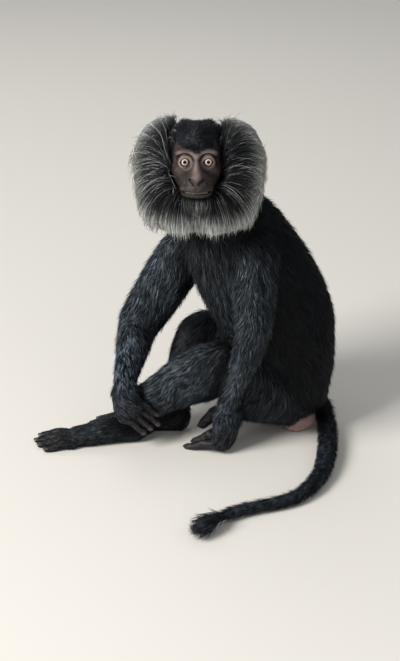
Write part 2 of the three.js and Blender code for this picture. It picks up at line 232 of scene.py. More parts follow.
# The coat at each knot is the mean of all the parts' rows, in which a part counts e times less with each
# NEAR that its solid is further off. It has eight numbers, of which the last three are the hair's lie.
NEAR = 4.5 * MM
BLEND = lattice_round(list(nodes), 8 * MM, 30 * MM)
knots = knots_of(BLEND)
nearness, traits = [], []
middle_of = {name: surface_of([name])[0].mean(0) for name in flesh}
for name in flesh:
    away = distances(*surface_of([name]), BLEND, 40 * MM, 60 * MM)
    nearness.append(np.exp(-np.clip(away, -25 * MM, 40 * MM) / NEAR).ravel())
    depth, length, thick, dense, grey, towards, fall = COAT[kind_of(name)]
    target = towards if towards in middle_of else towards + name[name.rfind("_"):]
    if name == "mane":
        lie = ruff_lie(knots)
    else:
        if target in middle_of:
            way = middle_of[target] - middle_of[name]
        elif name == "tail_tuft":
            way = middle_of[name] - middle_of["tail_end"]
        else:
            way = middle_of[name] - middle_of[palm_of(name)]
        if kind_of(name) == "thigh":
            way = way * np.array([1, 1, 0.2])  # the knee is drawn up, but the hair hangs
        lie = np.tile(unit(unit(way) - fall * UP), (len(knots), 1))
    rest = np.tile(np.array([depth * MM, length * MM, thick * MM, dense, grey]), (len(knots), 1))
    traits.append(np.concatenate((rest, lie), 1).astype(np.float32))
nearness = np.array(nearness, np.float32)
nearness /= nearness.sum(0)
blend_of = np.einsum("nk,nkc->kc", nearness, np.array(traits)).reshape(BLEND[2] + (8,))
share_of = nearness.T.reshape(BLEND[2] + (len(flesh),))


def finer(values, lattice):
    """A trait of the coarse lattice at every knot of a finer one, mixed along each axis in turn."""
    cell, first, count = lattice
    for axis in range(3):
        at = (np.arange(count[axis]) + first[axis]) * cell / BLEND[0] - BLEND[1][axis]
        at = np.clip(at, 0, values.shape[axis] - 1.001)
        knot = at.astype(int)
        part = (at - knot).astype(np.float32).reshape([-1 if i == axis else 1 for i in range(3)])
        values = np.take(values, knot, axis) * (1 - part) + np.take(values, knot + 1, axis) * part
    return values


# The outline of all the flesh but the digits together, closed over the thin cuts, and its distances. The
# head's solid, made slimmer, melts in softly, so that the neck runs into the skin of the head.
BODY = lattice_round(list(nodes), 1.6 * MM, 14 * MM)
large = [name for name in flesh if name not in digits]
together = distances(*surface_of(large), BODY, 5 * MM, 5 * MM)
closed = surface_at(together, BODY, JOIN)
outline = distances(*closed, BODY, 8 * MM, 26 * MM) + JOIN
outline += finer(blend_of[..., 0], BODY)
from_head = distances(*surface_of(["head"]), BODY, 40 * MM, 40 * MM) + 5 * MM
body_points, body_triangles = surface_at(smooth(melt(outline, from_head, 24 * MM), 3), BODY)

# Hands and feet on a finer lattice of their own, in which every digit melts into the palm. The left hand's
# fingers are a little fuller than their solids, the other digits a little slimmer. Up the wrist or ankle
# the paw dives under the skin of the limb.
paw_skins = []
for name in paws:
    own = [digit for digit in digits if palm_of(digit) == name]
    limb = name.replace("foot", "shin").replace("hand", "forearm")
    PAW = lattice_round([name] + own, 1.0 * MM, 9 * MM)
    joined = distances(*surface_of([name, limb]), PAW, 5 * MM, 5 * MM)
    palm = distances(*surface_at(joined, PAW, JOIN), PAW, 9 * MM, 30 * MM) + JOIN
    from_palm = distances(*surface_of([name]), PAW, 26 * MM, 5 * MM)
    palm = palm + finer(blend_of[..., 0], PAW) * step(from_palm, -2 * MM, 6 * MM) + 1.2 * MM
    palm = palm + 3 * MM * step(from_palm, 3 * MM, 12 * MM)
    for digit in own:
        points, triangles = surface_of([digit])
        if digit in ("finger_3_left", "finger_4_left"):
            points[:, 2] *= 1.2  # these two arch a little higher
        one = distances(points, triangles, PAW, 14 * MM, 9 * MM)
        slimmer = -0.5 if digit.startswith("finger") and digit.endswith("left") else 0.2
        palm = melt(palm, smooth(one, 1) + slimmer * MM, 3.2 * MM)
    edge = np.ones(PAW[2], bool)
    edge[1:-1, 1:-1, 1:-1] = False
    palm[edge] = 5 * MM  # closes the skin inside the limb, where the lattice ends
    paw_skins.append(surface_at(smooth(palm, 1), PAW))

# ---------------------------------------------------------------- head
# The scalp and a bare, dark, wrinkled face. Skull, muzzle and cheeks are rounded masses that melt into one
# another, the lids are domes over the eyeballs with an almond opening, and folds, nostrils and mouth are
# pressed into the skin. The body, the head and the paws are then joined into one skin.
HEAD_CELL = 0.6
HEAD_KNOTS = ((0, 72), (-94, 114), (-88, 96))  # the left half's first knot and end along each axis
MASSES = (  # the left half's: centre and half widths, in millimetres
    ((0, -8, 14), (36, 44, 38)),  # braincase
    ((0, 9, -5), (31, 29, 33)),  # cheeks
    ((14, 32, 16), (14, 9, 5.5)),  # brow ridge
    ((0, 35, 11), (8, 8, 9)),  # root of the nose
    ((21, 19, -5), (10, 15, 10)),  # cheekbone
    ((0, 27, -17), (23, 30, 18)),  # upper jaw
    ((0, 45, -7), (6, 11, 15)),  # bridge of the nose
    ((0, 53.5, -15.5), (10.5, 9, 6.5)),  # nose
    ((0, 42, -28), (21.5, 20, 10)),  # upper lip
    ((0, 26, -33.8), (20, 29, 10.6)),  # lower jaw
)
EYE_RADIUS = 9.2
LID = 1.3  # how thick the lids are
LIPS_WIDE = 19.5  # from the middle to a corner


def carve(a, b, soft):
    """Distance from a with b cut out of it, rounded along the edge of the cut."""
    return -melt(-a, b, soft)


def ball(place, centre, half):
    """Distance from an egg: how far off it a point is in the egg's own measure, over that measure's slope."""
    off = [(p - c) / h for p, c, h in zip(place, centre, half)]
    length = np.sqrt(sum(o * o for o in off))
    slope = np.sqrt(sum((o / h) ** 2 for o, h in zip(off, half)))
    return length * (length - 1) / np.maximum(slope, 1e-6)


def rod(place, start, end, radius):
    """Distance from a straight rod with round ends: from the nearest place on its middle line, less its
    radius."""
    span = [b - a for a, b in zip(start, end)]
    t = sum((p - a) * d for p, a, d in zip(place, start, span)) / sum(d * d for d in span)
    t = np.clip(t, 0, 1)
    return np.sqrt(sum((p - a - t * d) ** 2 for p, a, d in zip(place, start, span))) - radius


def hill(x, at, wide):
    """One at a place and falling off to nothing on either side, as a bell: e to the power of minus the
    square of how many widths x is away."""
    return np.exp(-(((x - at) / wide) ** 2))


def mouth_line(s):
    """Height of the line between the lips, which rises to the corners by the square of the way there."""
    return -34.9 + 3.2 * (s / LIPS_WIDE) ** 2


def lips_front(s):
    """How far forward the line between the lips lies: an ellipse round the jaw."""
    return 26.5 + 28 * np.sqrt(np.clip(1 - (s / 22.5) ** 2, 0.02, 1))


def folds(s, f, u):
    """Depth of the folds of the face, each a bell across its own line or a run of small waves: rings and
    bags round the eye, lines beside the muzzle, and furrows of brow, lips and nose."""
    front = step(f, 12, 22)
    round_eye = np.hypot(s - 15, (u - 4.2) * 1.03)
    ring = 1.5 * hill(round_eye, 11.4, 1.3) * (0.25 + 0.95 * step(u, 2, 9))
    bag = 0.55 * (hill(round_eye, 14.4, 0.9) + 0.6 * hill(round_eye, 17.2, 0.9))
    bag = bag * step(-u, -3, 4) * step(s, 4, 9)
    beside = 1.1 * hill(s - (10.5 + 0.55 * (-13 - u) - 0.012 * (u + 13) ** 2), 0, 1.5) * hill(u, -22, 8)
    outer = 0.5 * hill(s - (15.5 + 0.4 * (-13 - u) - 0.01 * (u + 13) ** 2), 0, 1.3) * hill(u, -20, 8)
    furrow = 0.3 * np.cos((u - 0.18 * s) * 2.1) * hill(u, 22, 5) * hill(s, 8, 11)
    lip_lines = 0.16 * np.cos(s * 3.4) * hill(u, -31, 3.5) * hill(s, 0, 13)
    middle = 0.45 * hill(s, 0, 1.1) * hill(u, -30, 3.5)
    under_lip = 0.9 * hill(u - mouth_line(s), -7.2, 1.4) * hill(s, 0, 13)
    nose_line = 0.22 * np.cos(u * 2.6) * hill(s, 0, 5) * hill(u, 4, 7)
    return front * (ring + bag + beside + outer + furrow + lip_lines + middle + under_lip + nose_line)


def head_distance(s, f, u):
    """Distance from the skin of the head at places given in millimetres along its own axes: masses and
    wings of the nose melted together, sockets cut, folds added, then lids, their openings, lips, the gap
    between them and nostrils. The head is the same on both sides."""
    s = np.abs(s)
    place = (s, f, u)
    skin = ball(place, *MASSES[0])
    for centre, half in MASSES[1:]:
        skin = melt(skin, ball(place, centre, half), 6)
    skin = melt(skin, ball(place, (9.2, 51.0, -16.0), (3.6, 6.5, 4.8)), 2.0)  # wings of the nose
    skin = carve(skin, ball(place, (15.5, 43, 1.5), (11, 8.5, 11)), 4)  # socket
    skin = skin + folds(s, f, u)
    from_eye = np.sqrt(sum((p - e) ** 2 for p, e in zip(place, EYE_PLACE)))
    skin = melt(skin, from_eye - EYE_RADIUS - LID, 1.3)
    a, b = s - EYE_PLACE[0], u - EYE_PLACE[2]
    wide, high = 6.6, 4.7
    bend = (wide**2 + high**2) / (2 * high)
    almond = np.maximum(np.hypot(a, b + bend - high), np.hypot(a, b - bend + high)) - bend  # two circles
    opening = np.maximum(np.maximum(almond, EYE_PLACE[1] + 3 - f), from_eye - 16)
    skin = carve(skin, opening, 0.5)
    along = mouth_line(s)
    front = lips_front(s)
    fade = np.sqrt(np.clip(1 - (s / (LIPS_WIDE + 0.5)) ** 2, 0, 1))
    for rise, out, radius in ((2.9, 0.6, 2.3), (-3.0, 0.0, 2.5)):
        lip = np.hypot(f - front - out + 1.2, u - along - rise) - radius * fade + 2.5 * step(s, 17, 21)
        skin = melt(skin, lip, 2.4)
    gap = np.maximum(np.abs(u - along) - 1.45 * fade, front - 8 - f)
    skin = carve(skin, np.maximum(gap, s - LIPS_WIDE), 0.7)
    return carve(skin, rod(place, (3.2, 60.0, -22.4), (7.8, 57.4, -16.8), 2.0), 0.8)  # nostril


def out_of_head(s, f, u):
    """Points of the model from millimetres along the head's own axes."""
    return head_middle + np.stack(np.broadcast_arrays(s, f, u), -1) @ head_axes * MM


s_at, f_at, u_at = (np.arange(first, end) * HEAD_CELL for first, end in HEAD_KNOTS)
half_head = head_distance(s_at[:, None, None], f_at[None, :, None], u_at[None, None, :]).astype(np.float32)
whole_head = np.concatenate((half_head[:0:-1], half_head))
first_knot = (1 - len(s_at), HEAD_KNOTS[1][0], HEAD_KNOTS[2][0])
head_points, head_triangles = surface_at(whole_head, (HEAD_CELL, first_knot, None))
head_points = out_of_head(*head_points.T)
head_triangles = outwards(head_points, head_triangles)


def put(data, field, values, kind=np.float32):
    """Writes an array, row after row, into one value of a mesh's vertices, loops or faces."""
    data.foreach_set(field, np.ascontiguousarray(values, kind).ravel())


def mesh_of(name, points, triangles):
    """A mesh of triangles, smooth all over."""
    mesh = bpy.data.meshes.new(name)
    mesh.vertices.add(len(points))
    put(mesh.vertices, "co", points)
    mesh.loops.add(3 * len(triangles))
    put(mesh.loops, "vertex_index", triangles, np.int32)
    mesh.polygons.add(len(triangles))
    put(mesh.polygons, "loop_start", np.arange(len(triangles)) * 3, np.int32)
    mesh.update(calc_edges=True)
    mesh.shade_smooth()
    return mesh


def piece(name, mesh):
    """A new object of that mesh, in the scene."""
    made = bpy.data.objects.new(name, mesh)
    bpy.context.scene.collection.objects.link(made)
    return made


def applied(made):
    """The mesh that an object's modifiers make of its own."""
    made = made.evaluated_get(bpy.context.evaluated_depsgraph_get())
    return bpy.data.meshes.new_from_object(made)


def thinned(name, points, triangles, keep, share):
    """The piece with fewer triangles where keep is low: edges are folded up until share of them are left."""
    made = piece(name, mesh_of(name, points, triangles))
    group = made.vertex_groups.new(name="thin")
    tenths = np.round((1 - np.broadcast_to(keep, len(points))) * 10).astype(int)
    for number in range(1, 11):
        group.add(np.flatnonzero(tenths == number).tolist(), number / 10, "REPLACE")
    thin = made.modifiers.new("thin", "DECIMATE")
    thin.ratio = share
    thin.vertex_group = "thin"
    thin.vertex_group_factor = 1.0
    mesh = applied(made)
    bpy.data.objects.remove(made)
    return piece(name, mesh)


skin = thinned("skin", body_points, body_triangles, 0.2, 0.2)
s, f, u = in_head(head_points).T
front = step(f, 5, 20) * (1 - step(u, 24, 32))
others = [thinned("head_skin", head_points, head_triangles, 0.2 + 0.6 * front, 0.33)]
others += [thinned("paw_skin", *paw, 0, 0.45) for paw in paw_skins]
for other in others:
    union = skin.modifiers.new("join", "BOOLEAN")
    union.operation = "UNION"
    union.solver = "MANIFOLD"
    union.object = other
mesh = applied(skin)
for other in others:
    bpy.data.objects.remove(other)
skin.modifiers.clear()
skin.data = mesh
FLOOR_GAP = 0.2 * MM  # what rests on the floor is flat, and ends this far over it
place = values_of(mesh.vertices, "co", np.float32, 3)
place[:, 2] = np.maximum(place[:, 2], FLOOR_GAP)
put(mesh.vertices, "co", place)
mesh.shade_smooth()

# The skin's markings, as values of its points: how bare it is, how much it belongs to the face, its pale
# places (the lids' own paler skin, and a painted highlight on the brows and the bridge of the nose) and its
# dark ones (painted shade in the folds, round the eyes, in the nostrils and between the lips).
place = place.astype(float)
s, f, u = in_head(place).T
s = np.abs(s)
on_face = step(f - 0.35 * u, -4, 8) * (1 - step(u - 0.6 * s, 18, 24))
on_face *= 1 - step(np.hypot(s / 31, (u + 2) / 47), 0.98, 1.1)
on_face *= 1 - step(-u - 0.5 * (f - 40), 38, 42)
from_eye = np.hypot(s - EYE_PLACE[0], u - EYE_PLACE[2])
lids = hill(from_eye, 7.4, 1.7) * step(f, 26, 30)
# Painted highlights: the bridge of the nose and the brow ridges are made paler where the light catches them.
# The lids are paler skin of their own.
bridge_highlight = hill(s, 0, 5) * step(u, -26, -12) * (1 - step(u, 12, 20)) * step(f, 30, 40)
brow_highlight = hill(u - 14.5 - 0.1 * s, 0, 4.5) * step(s, 2, 8) * (1 - step(s, 22, 30)) * step(f, 28, 34)
pale = np.clip(0.95 * lids + 0.7 * bridge_highlight + 0.55 * brow_highlight, 0, 1) * on_face
# The dark mark is painted shade: the folds, the rings round the eyes, the gap between the lips and the
# nostrils are darkened where shade falls in them.
dark = np.clip(folds(s, f, u) * 0.8, 0, 1)
dark = np.maximum(dark, hill(from_eye, 10.9, 1.4) * step(f, 24, 28) * (0.35 + 0.65 * step(u, 3, 8)))
dark = np.maximum(dark, hill(u - mouth_line(s), 0, 2.4) * step(f, 30, 36) * (1 - step(s, 18.5, 21)))
slit = np.clip((u + 23) / 9, 0, 1)
from_nostril = np.hypot(s - 3.6 - 5.2 * slit, u + 23 - 7 * slit)
dark = np.maximum(dark, hill(from_nostril, 0, 2.9) * step(f, 44, 50)) * on_face


def mark(mesh, name, values):
    """Puts one value at each point of a mesh, under that name."""
    put(mesh.attributes.new(name, "FLOAT", "POINT").data, "value", values)


def between(values, lattice, points):
    """A lattice's values at any points: the eight knots round each, mixed by how near they are."""
    cell, first, count = lattice
    place = np.clip(np.asarray(points, float) / cell - first, 0, np.array(count) - 1.001)
    knot = place.astype(np.int32)
    part = (place - knot).astype(np.float32)
    flat = values.reshape(count[0] * count[1] * count[2], -1)
    base = (knot[:, 0] * count[1] + knot[:, 1]) * count[2] + knot[:, 2]
    total = 0
    for i, j, k in np.ndindex(2, 2, 2):
        weight = np.abs(1 - i - part[:, 0]) * np.abs(1 - j - part[:, 1]) * np.abs(1 - k - part[:, 2])
        total = total + flat[base + (i * count[1] + j) * count[2] + k] * weight[:, None]
    return total[:, 0] if values.ndim == 3 else total


trait = between(blend_of, BLEND, place)
bare = 1 - step(trait[:, 0] / MM, 0.7, 2.5)
mark(mesh, "bare", np.maximum(bare, on_face))
mark(mesh, "face", on_face)
mark(mesh, "pale", pale)
mark(mesh, "dark", dark)


def socket(tree, name, kind, value=None):
    """Gives a node group a named input, or a named output where there is no value for it to start with."""
    way = "OUTPUT" if value is None else "INPUT"
    made = tree.interface.new_socket(name=name, in_out=way, socket_type=f"NodeSocket{kind}")
    if value is not None:
        made.default_value = value


def node(tree, kind, inputs=(), **settings):
    """A shader node with its settings, each input given as a value or as another node's output."""
    made = tree.nodes.new(f"ShaderNode{kind}")
    for key, value in settings.items():
        setattr(made, key, value)
    for key, value in dict(inputs).items():
        if isinstance(value, bpy.types.NodeSocket):
            tree.links.new(value, made.inputs[key])
        else:
            made.inputs[key].default_value = value
    return made


def mixed(tree, share, a, b):
    """Colour a turning into colour b as share goes from nothing to one."""
    return node(tree, "Mix", {0: share, 6: a, 7: b}, data_type="RGBA").outputs[2]


def noise(tree, scale, detail=2.0, roughness=0.5):
    """Soft spots, so many to a metre, on the object's own coordinates: a share from nothing to one."""
    where = node(tree, "TexCoord").outputs["Object"]
    inputs = {"Vector": where, "Scale": scale, "Detail": detail, "Roughness": roughness}
    return node(tree, "TexNoise", inputs).outputs["Fac"]


def material(name, **constants):
    """A new material with one Principled shader, whose constant values are set on its own sockets."""
    made = bpy.data.materials.new(name)
    made.use_nodes = True
    shader = made.node_tree.nodes["Principled BSDF"]
    for key, value in constants.items():
        shader.inputs[key.replace("_", " ")].default_value = value
    return made, made.node_tree, shader


def value_named(tree, name):
    """The output of an attribute node that reads a value of the mesh's points."""
    return node(tree, "Attribute", attribute_name=name).outputs["Fac"]


# Wrinkled hide, shared by the skin and the seat pads: blotches, a height of fine creases and pores.
hide = bpy.data.node_groups.new("wrinkled hide", "ShaderNodeTree")
socket(hide, "Creases to a metre", "Float", 900.0)
socket(hide, "Blotches", "Float")
socket(hide, "Height", "Float")
given = hide.nodes.new("NodeGroupInput")
result = hide.nodes.new("NodeGroupOutput")
where = node(hide, "TexCoord").outputs["Object"]
pores = node(hide, "TexVoronoi", {"Vector": where, "Scale": given.outputs[0]}, feature="DISTANCE_TO_EDGE")
crease = node(hide, "Math", {0: pores.outputs["Distance"], 1: 0.25}, operation="MINIMUM").outputs[0]
rough = node(hide, "Math", {0: noise(hide, 1500.0, 3.0), 1: 0.35, 2: crease}, operation="MULTIPLY_ADD")
spread = node(hide, "MapRange", {0: noise(hide, 130.0, 8.0, 0.75), 1: 0.38, 2: 0.62, 3: 0.0, 4: 1.0})
hide.links.new(spread.outputs[0], result.inputs["Blotches"])
hide.links.new(rough.outputs[0], result.inputs["Height"])


def hide_on(tree, shader, creases, strength, deep):
    """Presses the wrinkled hide into a material's surface, and returns its blotches for the colour."""
    made = tree.nodes.new("ShaderNodeGroup")
    made.node_tree = hide
    made.inputs["Creases to a metre"].default_value = creases
    bump = node(tree, "Bump", {"Strength": strength, "Distance": deep, "Height": made.outputs["Height"]})
    tree.links.new(bump.outputs["Normal"], shader.inputs["Normal"])
    return made.outputs["Blotches"]


bare_hide, tree, shader = material(
    "skin", Roughness=0.55, Specular_IOR_Level=0.4, Subsurface_Weight=0.08, Subsurface_Scale=0.004)
blotches = hide_on(tree, shader, 850.0, 0.55, 0.0005)
face_brown = mixed(tree, blotches, (0.008, 0.0056, 0.005, 1), (0.047, 0.033, 0.029, 1))
paw_grey = mixed(tree, blotches, (0.012, 0.010, 0.010, 1), (0.030, 0.026, 0.025, 1))
bare_colour = mixed(tree, value_named(tree, "face"), paw_grey, face_brown)
# Over the skin's own colours go the pale lids with painted highlights on brows and nose bridge, then painted
# shade in the folds, nostrils and mouth.
bare_colour = mixed(tree, value_named(tree, "pale"), bare_colour, (0.20, 0.150, 0.130, 1))
bare_colour = mixed(tree, value_named(tree, "dark"), bare_colour, (0.018, 0.010, 0.008, 1))
colour = mixed(tree, value_named(tree, "bare"), (0.008, 0.008, 0.009, 1), bare_colour)
tree.links.new(colour, shader.inputs["Base Color"])
mesh.materials.clear()
mesh.materials.append(bare_hide)
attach(skin, "root")
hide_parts("head", *flesh)

# ---------------------------------------------------------------- seat pads
# Two bare pinkish cushions of thick skin that the animal sits on, let into the rump. Each is its solid
# with the edges rounded off.
pad_names = ["seat_pad_left", "seat_pad_right"]
PADS = lattice_round(pad_names, 1.0 * MM, 6 * MM)
values = distances(*surface_of(pad_names), PADS, 6 * MM, 6 * MM)
pads = thinned("seat_pads", *surface_at(smooth(values + 0.3 * MM, 5), PADS), 0, 0.5)
pad_hide, tree, shader = material("seat pad", Roughness=0.6, Specular_IOR_Level=0.35)
blotches = hide_on(tree, shader, 420.0, 0.6, 0.0008)
colour = mixed(tree, blotches, (0.29, 0.19, 0.175, 1), (0.46, 0.33, 0.31, 1))
tree.links.new(colour, shader.inputs["Base Color"])
pads.data.materials.append(pad_hide)
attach(pads, "root")
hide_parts("seat_pad_left", "seat_pad_right")

# ---------------------------------------------------------------- nails
# A dark, slightly shiny plate of horn on the back of each finger's and toe's last joint, bent across. Its
# upper and lower sheets, joined round the edge, are grids on an arc about the digit's own axis.
NAIL_LONG = 6.2 * MM
NAIL_THICK = 0.7 * MM
NAIL_BEND = 1.05  # radians from the middle to an edge
NAIL_GRID = 9  # points along and across a sheet
RIGHT_HAND_BACK = np.array([0.976, -0.01, 0.176])  # it hangs turned; the other paws lie flat


def grid_faces(rows, columns, closed=False):
    """Triangles between the neighbours in a grid of points, two to a cell. A closed grid's last column
    is joined to its first."""
    i, j = np.meshgrid(np.arange(rows - 1), np.arange(columns if closed else columns - 1), indexing="ij")
    a, b = i * columns + j, i * columns + (j + 1) % columns
    return halved(np.stack((a, b, b + columns, a + columns), -1).reshape(-1, 4))


def spotted(name, scale, dark, light, **constants):
    """A material whose colour wanders from dark to light in soft spots, so many to a metre."""
    made, tree, shader = material(name, **constants)
    tree.links.new(mixed(tree, noise(tree, scale), dark, light), shader.inputs["Base Color"])
    return made


nail_horn = spotted(
    "nail", 300.0, (0.014, 0.012, 0.012, 1), (0.042, 0.036, 0.034, 1),
    Roughness=0.32, Specular_IOR_Level=0.5, Coat_Weight=0.3, Coat_Roughness=0.15)
sheet = grid_faces(NAIL_GRID, NAIL_GRID)
below = NAIL_GRID**2
last = NAIL_GRID - 1
run = np.arange(last)
edge = np.concatenate((run, last + NAIL_GRID * run, below - 1 - run, (last - run) * NAIL_GRID))
following = np.roll(edge, -1)
wall = halved(np.stack((edge, following, following + below, edge + below), -1))
shell = np.concatenate((sheet, (sheet + below)[:, ::-1], wall))
v, w = np.meshgrid(np.linspace(0, 1, NAIL_GRID), np.linspace(-1, 1, NAIL_GRID), indexing="ij")
points, triangles = [], []
for number, name in enumerate(digits):
    digit = surface_of([name])[0].astype(float)
    centre = digit.mean(0)
    ahead = np.linalg.svd(digit - centre)[2][0]
    ahead *= np.sign(ahead @ (centre - middle_of[palm_of(name)]))
    above = RIGHT_HAND_BACK if palm_of(name) == "hand_right" else UP
    across = unit(np.cross(above, ahead))
    above = np.cross(ahead, across)
    along = (digit - centre) @ ahead
    end = digit[along > along.max() - 11 * MM]
    middle = end.mean(0)
    half = np.ptp((end - middle) @ across) / 2
    tip = centre + ahead * along.max() + ((middle - centre) @ above) * above
    tip = tip + ((middle - centre) @ across) * across
    back = tip - ahead * NAIL_LONG
    length = (v * 1.08) * NAIL_LONG * (1 - 0.12 * w**2)
    radius = (half + 0.35 * MM) * (1 - 0.20 * v**2)
    arc = w * NAIL_BEND
    from_axis = np.sin(arc)[..., None] * across + (np.cos(arc) * 0.95)[..., None] * above
    for lift in (0.0, -NAIL_THICK):
        plate = back + length[..., None] * ahead + (radius + lift)[..., None] * from_axis
        points.append(plate.reshape(-1, 3))
    triangles.append(outwards(np.concatenate(points[-2:]), shell) + number * 2 * below)
points = np.maximum(np.concatenate(points), [-1, -1, FLOOR_GAP])
nails = piece("nails", mesh_of("nails", points, np.concatenate(triangles)))
nails.data.materials.append(nail_horn)
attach(nails, "root")

# ---------------------------------------------------------------- short coat
# Locks of black hair that rise from the skin and then lie along it. Each lock is a closed spindle with a
# point at its root and one at its tip, carried along a path that is combed over the skin.
HAIR_GAP = 1.3 * MM  # hair stays this far over the floor
BAKED_PATCH = 0.003  # how much of the skin's unwrapped map a lock takes, round its own root
HAIR = lattice_round(list(nodes), 2 * MM, 34 * MM)
mesh.calc_loop_triangles()
corners_of = values_of(mesh.loop_triangles, "vertices", np.int32, 3)
above_skin = distances(place, corners_of, HAIR, 34 * MM, 8 * MM)

# The skin is unwrapped into one map for baking, in which each lock then takes the place of its own root.
bpy.context.view_layer.objects.active = skin
for other in bpy.context.scene.objects:
    other.select_set(other is skin)
bpy.ops.object.mode_set(mode="EDIT")
bpy.ops.mesh.select_all(action="SELECT")
bpy.ops.uv.smart_project(angle_limit=1.15, island_margin=0.001)
bpy.ops.object.mode_set(mode="OBJECT")
mesh.uv_layers.active.name = "OFBake"
unwrapped = values_of(mesh.uv_layers["OFBake"].data, "uv", np.float32, 2)
loops_of = values_of(mesh.loop_triangles, "loops", np.int32, 3)

# Any numbers, from which each cube of space gets a clump's place (three of them) and its lot (two).
CHANCE = ((12.9, 78.2, 37.7, 94.6, 51.3), (63.7, 10.9, 24.1, 45.2, 83.5), (30.3, 57.8, 91.6, 17.4, 68.9))


def slope(points):
    """The way straight out of the skin: how the height above it grows along each axis."""
    rise = [between(above_skin, HAIR, points + d) - between(above_skin, HAIR, points - d)
            for d in np.eye(3) * 3 * MM]
    return unit(np.stack(rise, -1))


def scattered(weight, count, rng):
    """Roots spread over the skin, as many to an area as weight says at its points: triangles are drawn in
    order of the mesh, at even steps of weight times area, and a place inside each at random."""
    p, q, r = place[corners_of].transpose(1, 0, 2)
    area = np.linalg.norm(np.cross(q - p, r - p), axis=1) * weight[corners_of].mean(1)
    total = np.cumsum(area)
    chosen = np.searchsorted(total, (np.arange(count) + rng.random(count)) / count * total[-1])
    a, b = np.sqrt(rng.random(count)), rng.random(count)
    share = np.stack((1 - a, a * (1 - b), a * b), -1)
    roots = np.einsum("nk,nkc->nc", share, place[corners_of[chosen]])
    return roots, np.einsum("nk,nkc->nc", share, unwrapped[loops_of[chosen]])


def clumps(points, size):
    """For each point the middle of the clump of hair it belongs to and a number that its clump shares: space
    is cut into cubes of that size with one clump somewhere in each, and the nearest one is taken."""
    cube = np.floor(points / size)
    nearest, middle, lot = np.full(len(points), np.inf), np.zeros_like(points), np.zeros((len(points), 2))
    for neighbour in np.ndindex(3, 3, 3):
        at = cube + neighbour - 1
        chance = np.modf(np.abs(np.sin(at @ np.array(CHANCE)) * 4375.85))[0]
        off = (at + chance[:, :3]) * size
        away = np.linalg.norm(points - off, axis=1)
        near = away < nearest
        nearest[near], middle[near], lot[near] = away[near], off[near], chance[near][:, 3:]
    return middle, lot


def combed(roots, lie, length, heights, hug, fall=0.0, gather=0.0, clump=6 * MM):
    """Paths of hairs (hairs, stations, 3) and the skin's outward way at each station. Each step goes one
    part of the length along the lie, flattened to the skin by hug and pulled down by fall, and is then
    moved to its height above the skin. Gather draws the tips of one clump together. A hair that the skin's
    hollows would bend sharply or stretch is kept short."""
    steps = heights.shape[1] - 1
    out = slope(roots)
    here, way = roots, unit(lie - 0.85 * np.sum(lie * out, -1, keepdims=True) * out)
    path, outs = [roots - 1.0 * MM * out], [out]
    patch = clumps(roots, clump)[0]
    for k in range(1, steps + 1):
        way = unit(way - fall * UP)
        out = slope(here)
        way = unit(way - hug * np.sum(way * out, -1, keepdims=True) * out)
        here = here + way * (length / steps)[:, None]
        here = here + (patch - roots) * gather / steps
        out = slope(here)
        gap = heights[:, k] - between(above_skin, HAIR, here)
        gap = np.where(gap > 0, gap, gap * np.squeeze(hug) ** 2)
        here = here + out * np.clip(gap, -9 * MM, 9 * MM)[:, None]
        here[:, 2] = np.maximum(here[:, 2], HAIR_GAP)
        path.append(here)
        outs.append(out)
    path = np.stack(path, 1)
    ahead = unit(np.diff(path, axis=1))
    kinked = (np.sum(ahead[:, 1:] * ahead[:, :-1], -1) < 0.4).any(1)
    kinked |= np.linalg.norm(path[:, -1] - path[:, 0], axis=1) > 1.2 * length + heights.max(1) + 2 * MM
    return path[:, :1] + (path - path[:, :1]) * np.where(kinked, 0.25, 1)[:, None, None], np.stack(outs, 1)


